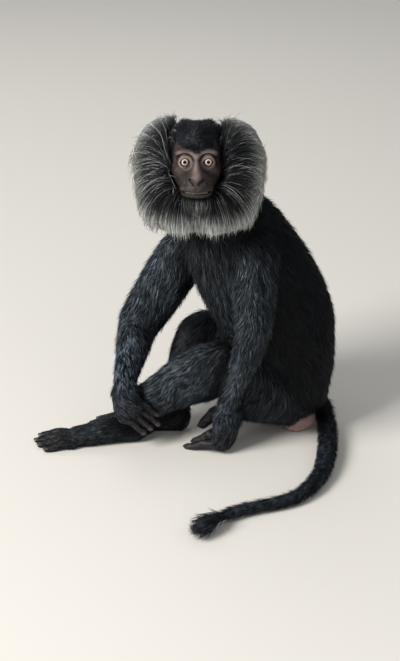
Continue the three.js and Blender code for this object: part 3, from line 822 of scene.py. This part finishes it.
def locks(name, path, outs, thick, root_uv, shade, rng):
    """A piece of closed spindles: a root point, a ring of three points at each station between, and a tip.
    Rings shrink towards the tip and are flattened to the skin. A ring's normals are the mean of its own
    and the skin's, so that the coat takes the light as one mass. The shade, which says how light the hair
    is, is one value to a lock or one to each of its stations."""
    hairs, stations = path.shape[:2]
    rings = stations - 2
    ahead = unit(path[:, 2:] - path[:, :-2])
    across = unit(np.cross(ahead, outs[:, 1:-1]))
    over = np.cross(across, ahead)
    turn = rng.random((hairs, 1, 1)) * 2 * np.pi + np.arange(3) * 2 * np.pi / 3
    at = np.linspace(0, 1, stations)[1:-1]
    wide = thick[:, None] * (1 - 0.65 * ((at - at[0]) / (1 - at[0])))
    ring = np.cos(turn)[..., None] * across[:, :, None] + 0.6 * np.sin(turn)[..., None] * over[:, :, None]
    body = path[:, 1:-1, None] + ring * wide[..., None, None]
    points = np.concatenate((path[:, :1], body.reshape(hairs, -1, 3), path[:, -1:]), 1)
    soft = unit(0.75 * outs[:, 1:-1, None] + 0.75 * ring)
    normals = np.concatenate((outs[:, :1], soft.reshape(hairs, -1, 3), outs[:, -1:]), 1)
    tip = 1 + 3 * rings
    corner = np.arange(3)
    others = (corner + 1) % 3
    faces = [np.stack((0 * corner, 1 + others, 1 + corner), -1), grid_faces(rings, 3, closed=True) + 1]
    faces.append(np.stack((tip - 3 + corner, tip - 3 + others, 0 * corner + tip), -1))
    faces = outwards(points[0], np.concatenate(faces))
    triangles = (faces + (np.arange(hairs) * (tip + 1))[:, None, None]).reshape(-1, 3)
    lock_mesh = mesh_of(name, points.reshape(-1, 3), triangles)
    put(lock_mesh.attributes.new("custom_normal", "FLOAT_VECTOR", "POINT").data, "vector", normals)
    station_of = np.concatenate(([0], np.repeat(np.arange(1, stations - 1), 3), [stations - 1]))
    along = station_of / (stations - 1)
    mark(lock_mesh, "along", np.tile(along, hairs))
    mark(lock_mesh, "shade", shade[:, station_of] if shade.ndim == 2 else np.repeat(shade, tip + 1))
    patch = np.stack((np.concatenate(([0.5], np.tile([0, 0.5, 1], rings), [0.5])), along), -1)
    spread = root_uv[:, None] + (patch - 0.5) * BAKED_PATCH
    put(lock_mesh.uv_layers.new(name="OFBake").data, "uv", spread.reshape(-1, 2)[triangles.ravel()])
    made = piece(name, lock_mesh)
    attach(made, "root")
    return made


# Colour of hair, shared by coat, cap and ruff: dark at the root, a painted shade of the locks lying over it
# near the skin, and further along as far from dark to light as the lock's own shade says.
hair = bpy.data.node_groups.new("hair colour", "ShaderNodeTree")
for label in ("Root", "Dark", "Light"):
    socket(hair, label, "Color", (0.01, 0.01, 0.012, 1))
socket(hair, "Colour", "Color")
given = hair.nodes.new("NodeGroupInput")
result = hair.nodes.new("NodeGroupOutput")
body_colour = mixed(hair, value_named(hair, "shade"), given.outputs["Dark"], given.outputs["Light"])
rise = node(hair, "MapRange", {0: value_named(hair, "along"), 1: 0.0, 2: 0.55, 3: 0.0, 4: 1.0})
hair.links.new(mixed(hair, rise.outputs[0], given.outputs["Root"], body_colour), result.inputs["Colour"])


def hair_material(name, root, dark, light, **constants):
    """Hair of one colour range."""
    made, tree, shader = material(name, **constants)
    group = tree.nodes.new("ShaderNodeGroup")
    group.node_tree = hair
    for key, value in (("Root", root), ("Dark", dark), ("Light", light)):
        group.inputs[key].default_value = value
    tree.links.new(group.outputs["Colour"], shader.inputs["Base Color"])
    return made


# Black hair: its light locks, slate blue, are a painted sheen, strands of the black coat that catch the
# light.
black_hair = hair_material(
    "black hair", (0.002, 0.002, 0.0025, 1), (0.0045, 0.005, 0.006, 1), (0.20, 0.25, 0.30, 1),
    Roughness=0.45, Specular_IOR_Level=0.09)

# How far each point of the skin belongs to the head, to the cap of hair on its crown and to the nape behind
# it, by the point's place along the head's axes.
CAP_MIDDLE = -1.5  # along s: the cap grows a little to the head's right
share = between(share_of, BLEND, place)
index_of = {name: number for number, name in enumerate(flesh)}
hs, hf, hu = in_head(place).T
on_head = 1 - step(head_distance(hs, hf, hu), 1.0, 4.0)
crown_line = 19 + 0.5 * np.abs(hs)
crown_wide = 18.5 - 3 * step(hu, 28, 42) + 12 * step(-hf, 5, 30)
on_cap = on_head * step(hu - crown_line * (hf > 0) - 0.25 * np.minimum(hf, 0), -1.2, 1.2)
on_cap = on_cap * (1 - step(np.abs(hs - CAP_MIDDLE) - crown_wide, -1, 2))
behind = step(-hf, -6, 2) * (1 - on_cap) * (1 - step(np.abs(hs), 31, 36))
nape = behind * np.maximum(on_head, step(hu, 18, 28))
# The last number of each piece, how light its locks are, is painted light and shade: raised on the right arm
# and the near left leg, and lowered on the far right leg, which is in shade.
GROUPS = {  # the parts that each piece of the coat covers, its number of locks, and how light they are
    "trunk_left": (["trunk", "neck"], 24000, 1),
    "trunk_right": (["trunk", "neck"], 18000, 1),
    "arm_left": (["upper_arm_left", "forearm_left"], 21000, 1),
    "arm_right": (["upper_arm_right", "forearm_right"], 17000, 1.55),
    "leg_left": (["thigh_left", "shin_left"], 22000, 1.1),
    "leg_right": (["thigh_right", "shin_right"], 16000, 0.28),
    "tail": (["tail_base", "tail_middle", "tail_end", "tail_tuft"], 12000, 1),
    "paws": (paws + digits, 18000, 1),
}

# Hair lies along its part's own way, turned a little by broad waves and from clump to clump, and is longer
# near the floor on trunk and legs. Light locks are a painted sheen: they show on open places and are held
# back in hollows and creases as painted shade, and show most on the front of the trunk.
middle_line = middle_of["trunk"][0]
for number, (group, (members, amount, lit)) in enumerate(GROUPS.items()):
    rng = np.random.default_rng(100 + number)
    weight = share[:, [index_of[member] for member in members]].sum(1) ** 1.5 * trait[:, 3]
    weight = weight * (1 - np.maximum(on_head, nape))
    if group.startswith("trunk"):
        to_left = step((place[:, 0] - middle_line) / MM, -4, 4)
        weight = (weight + 1.2 * nape) * (to_left if group == "trunk_left" else 1 - to_left)
    roots, root_uv = scattered(weight, amount, rng)
    here = between(blend_of, BLEND, roots)
    depth, length, thick = here[:, 0], here[:, 1], here[:, 2]
    wave = 0.30 * np.sin(roots @ np.array([97.0, 61, 83]))
    wave = wave + 0.25 * np.sin(roots @ np.array([-71.0, 113, 57]) + 2)
    out = slope(roots)
    s, f, u = in_head(roots).T
    at_nape = step(u, 18, 28) * (1 - step(np.abs(s), 37, 43))
    at_nape = np.maximum(1 - step(head_distance(s, f, u), 1, 4), at_nape)
    depth = depth - at_nape * (depth - 4 * MM)
    length = length - at_nape * (length - 13 * MM)
    lie = here[:, 5:8] * (1 - at_nape[:, None]) - at_nape[:, None] * (0.5 * forward_axis + up_axis)
    lot = clumps(roots, 3.0 * MM)[1]
    # How open the space is over each root: in hollows and creases fewer locks are light, a painted shade.
    open_to_light = np.clip(between(above_skin, HAIR, roots + 26 * MM * out) / (24 * MM), 0, 1)
    sideways = np.cross(out, lie)
    turned = wave * 0.5 + (lot[:, 0] - 0.5) * 0.4 + rng.normal(0, 0.10, len(roots))
    lie = lie + sideways * turned[:, None]
    low = 1 - step(roots[:, 2] / MM, 35, 90)
    length = length * rng.uniform(0.75, 1.2, len(roots))
    length = length * (1 + 0.35 * low * group.startswith(("trunk", "leg")))
    stray = rng.random(len(roots)) > (0.7 if group == "tail" else 0.88)
    lift = depth * rng.uniform(0.45, 0.95, len(roots)) + stray * np.minimum(0.2 * depth, 1.5 * MM)
    lift = lift * np.where((depth < 6 * MM) & (group == "tail"), 0.6, 1)
    heights = lift[:, None] * np.array([0, 0.62, 1.0]) * (0.85 + 0.2 * lot[:, 1:])
    heights[:, 2] += stray * (0.8 * depth if group == "tail" else np.minimum(0.35 * depth, 2.5 * MM))
    path, outs = combed(roots, lie, length, heights, 0.95, gather=0.55, clump=3.0 * MM)
    # A painted sheen on the front of the trunk, the chest: its locks are made up to five times as light.
    lit = lit * (1 + 4 * step(-out[:, 1], 0.3, 0.8) * group.startswith("trunk"))
    shade = lit * here[:, 4] * open_to_light**2 * (0.52 * lot[:, 0] ** 4 + 0.7 * rng.random(len(roots)) ** 6)
    thick = thick * rng.uniform(0.75, 1.2, len(roots))
    coat = locks(f"coat_{group}", path, outs, thick, root_uv, np.clip(shade, 0, 1), rng)
    coat.data.materials.append(black_hair)

# ---------------------------------------------------------------- cap
# Thick short black hair that stands up on the crown to a flat top and parts from one whorl over the brow.
# It is deepest at the crown's two upper corners, and the whorl itself shows a little light.
CAP_LOCKS = 13500
WHORL = (-5, 29, 35)  # its place along the head's axes
rng = np.random.default_rng(7)
roots, root_uv = scattered(on_cap, CAP_LOCKS, rng)
s, f, u = in_head(roots).T
corner = np.clip(np.abs(s - CAP_MIDDLE) / 17.5, 0, 1) ** 2 * step(u, 25, 42)
depth = (2.7 + 5.5 * corner + 4.5 * step(u, 28, 46)) * MM
from_whorl = unit((in_head(roots) - WHORL) * [0.6, 1, 0.4])
lie = unit(from_whorl @ head_axes + corner[:, None] * [0, 0, 1.2] + rng.normal(0, 0.2, (CAP_LOCKS, 3)))
depth *= 0.45 + 0.55 * step(u - 19 - 0.5 * np.abs(s), 0, 9)
heights = (depth * rng.uniform(0.5, 1.15, CAP_LOCKS))[:, None] * np.array([0, 0.6, 1.0])
length = (5 + 850 * depth) * MM * rng.uniform(0.7, 1.1, CAP_LOCKS)
path, outs = combed(roots, lie, length, heights, 0.5 - 0.3 * corner[:, None], gather=0.5, clump=4 * MM)
shade = 0.45 * clumps(roots, 4 * MM)[1][:, 0] ** 3 + 0.3 * rng.random(CAP_LOCKS) ** 4
lit = hill(np.hypot(s - WHORL[0], u - WHORL[2]), 0, 4)
shade = 0.12 * shade + 0.35 * lit * rng.random(CAP_LOCKS) ** 2
thick = 0.5 * MM * rng.uniform(0.7, 1.2, CAP_LOCKS)
cap = locks("cap", path, outs, thick, root_uv, shade, rng)
cap.data.materials.append(black_hair)

# ---------------------------------------------------------------- ruff
# Long hair that grows from the temples, cheeks and throat, rises outwards and then arches over and falls.
# It is charcoal with silver locks near the face, and silver-grey at the rim and in the beard.
FACE_HIGH = 2.5  # the middle of the ruff over the middle of the skull


def round_face(s, u):
    """How far a place lies from the middle of the ruff, seen from in front, and its angle from straight
    down, which is the same on both sides."""
    return np.hypot(s, u - FACE_HIGH), np.arctan2(np.abs(s), -(u - FACE_HIGH))


# The rim of the mane's solid: its furthest point within a fifth of a radian of each of these angles.
rim_angle = np.linspace(0, np.pi, 13)
s, f, u = in_head(surface_of(["mane"])[0]).T
radius, angle = round_face(s, u)
rim = []
for middle in rim_angle:
    near = np.abs(angle - middle) < 0.2
    rim.append(radius[near].max() if near.any() else 60)
ruff_hair = hair_material(
    "ruff hair", (0.004, 0.004, 0.005, 1), (0.006, 0.007, 0.009, 1), (0.66, 0.67, 0.65, 1),
    Roughness=0.5, Specular_IOR_Level=0.15)
beside = on_head * (1 - on_face) * (1 - on_cap) * (1 - nape) * (1 - step(-hf, 0, 10) * step(hu, 8, 20))
beside = beside * (1 - step(hf, 16, 22) * step(hu, 4, 12) * (1 - step(np.abs(hs), 26, 30)))
in_mane = share[:, index_of["mane"]]
ruff_roots = np.maximum(step(in_mane, 0.25, 0.6) * (1 - on_head), beside) * (1 - nape)
facing = step(hf, -30, 0)

# A lock reaches from its root to the rim, and the tips of stray ones lift. Under the chin the hair is short
# and points forward. Silver grows towards the rim, and shows in single locks beside the face.
for number, (name, amount) in enumerate((("ruff_face", 8200), ("ruff_face_over", 8200), ("ruff_back", 5600))):
    rng = np.random.default_rng(300 + number)
    weight = ruff_roots * ((1 - facing) if name == "ruff_back" else (0.15 + facing))
    roots, root_uv = scattered(weight, amount, rng)
    s, f, u = in_head(roots).T
    radius, angle = round_face(s, u)
    edge = np.interp(angle, rim_angle, rim)
    lot = clumps(roots, 7 * MM)[1]
    room = np.clip(edge - radius, 5, 54) * rng.uniform(0.9, 1.15, len(roots)) + 8 - 11 * step(-u, 45, 60)
    fuller = 13 * hill(angle, 1.1, 0.4) * step(s, 0, 10)
    length = (np.where(f < -28, 44 * rng.uniform(0.8, 1.1, len(roots)), room) + fuller) * MM
    lie = ruff_lie(roots) + rng.normal(0, 0.07, (len(roots), 3)) + (lot[:, :1] - 0.5) * 0.3 * side_axis
    stray = rng.random(len(roots)) > 0.85
    from_head = 1 - step(head_distance(s, f, u), 1, 6)
    chin = from_head * step(f, 8, 22) * step(-u, 34, 40) * (1 - step(np.abs(s), 12, 26))
    length = length * (1 - 0.5 * from_head * step(u, 12, 26)) - chin * (length - 20 * MM)
    lie = lie + chin[:, None] * (1.2 * forward_axis - 0.5 * up_axis)
    lift = (2.0 + 5.5 * rng.random(len(roots)) + 7 * from_head * (1 - step(u, 5, 20))) * MM
    heights = lift[:, None] * np.array([0, 0.6, 0.9, 1.0, 1.0, 0.8])
    heights = heights + np.outer(stray, [0, 0, 0, 0.5, 1, 2]) * MM
    hug = (np.where(stray, 0.5, 0.7) * (1 - 0.8 * from_head))[:, None]
    path, outs = combed(roots, lie, length, heights, hug, fall=0.38, gather=0.35, clump=7 * MM)
    s, f, u = np.moveaxis(in_head(path.reshape(-1, 3)).reshape(path.shape), -1, 0)
    radius, angle = round_face(s, u)
    radius = radius / np.interp(angle, rim_angle, rim)
    path[:, 1:-1] = 0.5 * path[:, 1:-1] + 0.25 * (path[:, :-2] + path[:, 2:])
    outs = unit(outs + 2 * chin[:, None, None] * forward_axis)
    streak = rng.random(len(roots))[:, None] * 0.6 + 0.4 * lot[:, 1:]
    # The rim on the head's left, the side away from the window light, is made more silver: painted light on
    # its shaded side.
    silver = 0.03 * step(radius, 0.55, 0.8) + (0.68 + 0.14 * (s > 0)) * step(radius, 0.76, 1.0)
    silver = silver + 0.05 * step(u, 50, 62)
    silver = silver + 0.16 * step(-u, 60, 68) * step(radius, 0.5, 0.75)
    silver = silver * (0.15 + 1.5 * streak) + 0.26 * (streak > 0.7) * step(radius, 0.1, 0.35)
    silver = silver + (0.2 + 0.36 * (streak > 0.6)) * chin[:, None] * (1 - step(np.abs(s), 8, 24))
    silver = silver * (1 - 0.8 * hill(radius, 0.64, 0.12) * step(-u, 34, 50))
    thick = 0.6 * MM * rng.uniform(0.7, 1.25, len(roots))
    ruff = locks(name, path, outs, thick, root_uv, np.clip(silver, 0, 1), rng)
    ruff.data.materials.append(ruff_hair)

# ---------------------------------------------------------------- eyes
# A wet ball with a low bulge over the iris, in its socket. The pupil is black, the iris nearly white with an
# amber edge and fine brown streaks, and the rest, the white of the eye in a human, is dark brown.
IRIS_WIDE = 4.0  # half widths, in millimetres
PUPIL_WIDE = 2.1
EYE_GRID = 64  # points round the ball, and rows from front to back
eye_look, tree, shader = material(
    "eye", Roughness=0.3, Coat_Weight=0.14, Coat_Roughness=0.04, Specular_IOR_Level=0.1)
ramp = node(tree, "ValToRGB", {"Fac": value_named(tree, "from_pupil")})
stops = (
    (0.0, (0.002, 0.002, 0.002, 1)),
    (PUPIL_WIDE / 10 - 0.012, (0.003, 0.002, 0.002, 1)),
    (PUPIL_WIDE / 10 + 0.012, (0.40, 0.28, 0.18, 1)),
    (0.275, (0.62, 0.52, 0.46, 1)),
    (0.345, (0.70, 0.62, 0.58, 1)),
    (IRIS_WIDE / 10 - 0.012, (0.50, 0.36, 0.22, 1)),
    (IRIS_WIDE / 10 + 0.015, (0.012, 0.008, 0.006, 1)),
    (0.60, (0.030, 0.018, 0.013, 1)),
)
for at, _ in stops[1:-1]:
    ramp.color_ramp.elements.new(at)
for element, (at, tint) in zip(ramp.color_ramp.elements, stops):
    element.position = at
    element.color = tint
streaks = node(tree, "Math", {0: noise(tree, 1400.0), 1: 0.35}, operation="MULTIPLY").outputs[0]
streaked = mixed(tree, streaks, ramp.outputs["Color"], (0.03, 0.015, 0.01, 1))
tree.links.new(streaked, shader.inputs["Base Color"])

# The ball's grid goes from the pupil, where row is nothing, to the back. Each end's points become one.
row, column = np.meshgrid(
    np.linspace(0, np.pi, EYE_GRID + 1), np.arange(EYE_GRID) / EYE_GRID * 2 * np.pi, indexing="ij")
off_axis = EYE_RADIUS * np.sin(row)
in_front = row < 1.5
reach = EYE_RADIUS + 0.55 * step(-off_axis, -IRIS_WIDE - 0.8, -1) * in_front
grid_point = np.arange(row.size)
merged = np.where(grid_point < EYE_GRID, 0, np.minimum(grid_point, EYE_GRID**2))
a, b, c = merged[grid_faces(EYE_GRID + 1, EYE_GRID, closed=True)].T
whole = (a != b) & (b != c) & (a != c)
used, triangles = np.unique(np.stack((a, b, c), -1)[whole], return_inverse=True)
triangles = triangles.reshape(-1, 3)
for side, sign in (("left", 1), ("right", -1)):
    gaze = unit(np.array([0.03 * sign, 1.0, 0.05]))
    across = unit(np.cross(gaze, UP))
    over = np.cross(across, gaze)
    outer = np.cos(column)[..., None] * across + np.sin(column)[..., None] * over
    ball_points = reach[..., None] * (np.cos(row)[..., None] * gaze + np.sin(row)[..., None] * outer)
    points = out_of_head(*(ball_points.reshape(-1, 3) + EYE_PLACE * [sign, 1, 1]).T)[used]
    eye = piece(f"eyeball_{side}", mesh_of(f"eyeball_{side}", points, outwards(points, triangles)))
    mark(eye.data, "from_pupil", np.where(in_front, off_axis, EYE_RADIUS).ravel()[used] / 10)
    eye.data.materials.append(eye_look)
    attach(eye, "root")
    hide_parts(f"eye_{side}")

# ---------------------------------------------------------------- teeth
# A row of small ivory front teeth behind the lips, of which the parted lips show the edges. Each is a
# pillow, turned to stand across the arch of the jaw.
TOOTH_WIDE = 2.3  # from tooth to tooth
TEETH = 13
ROWS, COLUMNS = 9, 12  # of points on each tooth
tooth_ivory = spotted(
    "tooth", 500.0, (0.50, 0.46, 0.39, 1), (0.68, 0.64, 0.56, 1),
    Roughness=0.3, Specular_IOR_Level=0.5, Coat_Weight=0.4, Coat_Roughness=0.1)


def squared(x):
    """A wave flattened towards one and minus one, the power 0.6 of its size, which makes a ball a pillow."""
    return np.sign(x) * np.abs(x) ** 0.6


row, column = np.meshgrid(
    np.linspace(-np.pi / 2, np.pi / 2, ROWS), np.arange(COLUMNS) / COLUMNS * 2 * np.pi, indexing="ij")
level = squared(np.cos(row))
pillow = (level * squared(np.cos(column)), level * squared(np.sin(column)), squared(np.sin(row)))
pillow = np.stack(pillow, -1)
across, deep, high = (pillow.reshape(-1, 3) * [TOOTH_WIDE / 2 * 0.88, 1.1, 1.9]).T
turn = ((np.arange(TEETH) - (TEETH - 1) / 2) * TOOTH_WIDE / 17)[:, None]
s = 18 * np.sin(turn)
points = out_of_head(
    (s + across * np.cos(turn) + deep * np.sin(turn)).ravel(),
    (lips_front(s) - 2.6 - across * np.sin(turn) + deep * np.cos(turn)).ravel(),
    (mouth_line(s) + 1.2 + high).ravel())
starts = (np.arange(TEETH) * ROWS * COLUMNS)[:, None, None]
triangles = (grid_faces(ROWS, COLUMNS, closed=True) + starts).reshape(-1, 3)
teeth = piece("teeth", mesh_of("teeth", points, triangles[:, ::-1]))
teeth.data.materials.append(tooth_ivory)
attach(teeth, "root")

# ---------------------------------------------------------------- floor, light and camera
# A plain pale floor whose edges are out of sight, a broad soft light from the camera's left, and two weaker
# ones, from in front and from behind. The camera looks down on the animal at 25 degrees.
floor_paper = material(
    "studio floor", Base_Color=(0.73, 0.705, 0.65, 1), Roughness=0.9, Specular_IOR_Level=0.1)[0]
corners = np.array([[-12, -12, 0], [12, -12, 0], [12, 12, 0], [-12, 12, 0]], float)
floor = piece("floor", mesh_of("floor", corners, halved(np.arange(4)[None])))
floor.data.materials.append(floor_paper)

CAMERA_PLACE = np.array([1.7598, -0.6515, 1.0714])
turn, rise = np.radians(70), np.radians(25)
backwards = np.array([np.sin(turn) * np.cos(rise), -np.cos(turn) * np.cos(rise), np.sin(rise)])
rightwards = np.array([np.cos(turn), np.sin(turn), 0])


def aimed(data, name, at, backwards):
    """A light or camera at a place, its back turned that way and level from side to side."""
    made = bpy.data.objects.new(name, data)
    bpy.context.scene.collection.objects.link(made)
    back = unit(backwards)
    right = unit(np.cross(UP, back))
    turned = np.stack((right, np.cross(back, right), back, at), 1)
    made.matrix_world = Matrix(np.vstack((turned, [0, 0, 0, 1])).tolist())
    return made


camera = bpy.data.cameras.new("camera")
camera.lens = 85
camera.sensor_width = 36
camera.clip_end = 50
bpy.context.scene.camera = aimed(camera, "camera", CAMERA_PLACE, backwards)

target = np.array([0, 0, 0.2])
level_back = np.array([np.sin(turn), -np.cos(turn), 0])
for name, right, back, high, wide, power in (
        ("window light", -2.6, 1.9, 2.4, 1.6, 200),
        ("front light", 0.9, 2.2, 1.4, 2.0, 8),
        ("rim light", -0.6, -2.0, 1.9, 1.4, 10)):
    data = bpy.data.lights.new(name, "AREA")
    data.size = wide
    data.energy = power
    data.color = (1.0, 0.985, 0.965)
    at = target + rightwards * right + level_back * back + UP * high
    aimed(data, name, at, at - target)
world = bpy.data.worlds.new("studio")
world.use_nodes = True
world.node_tree.nodes["Background"].inputs["Color"].default_value = (0.93, 0.95, 1.0, 1)
world.node_tree.nodes["Background"].inputs["Strength"].default_value = 0.36
bpy.context.scene.world = world
bpy.context.scene.view_settings.view_transform = "Standard"
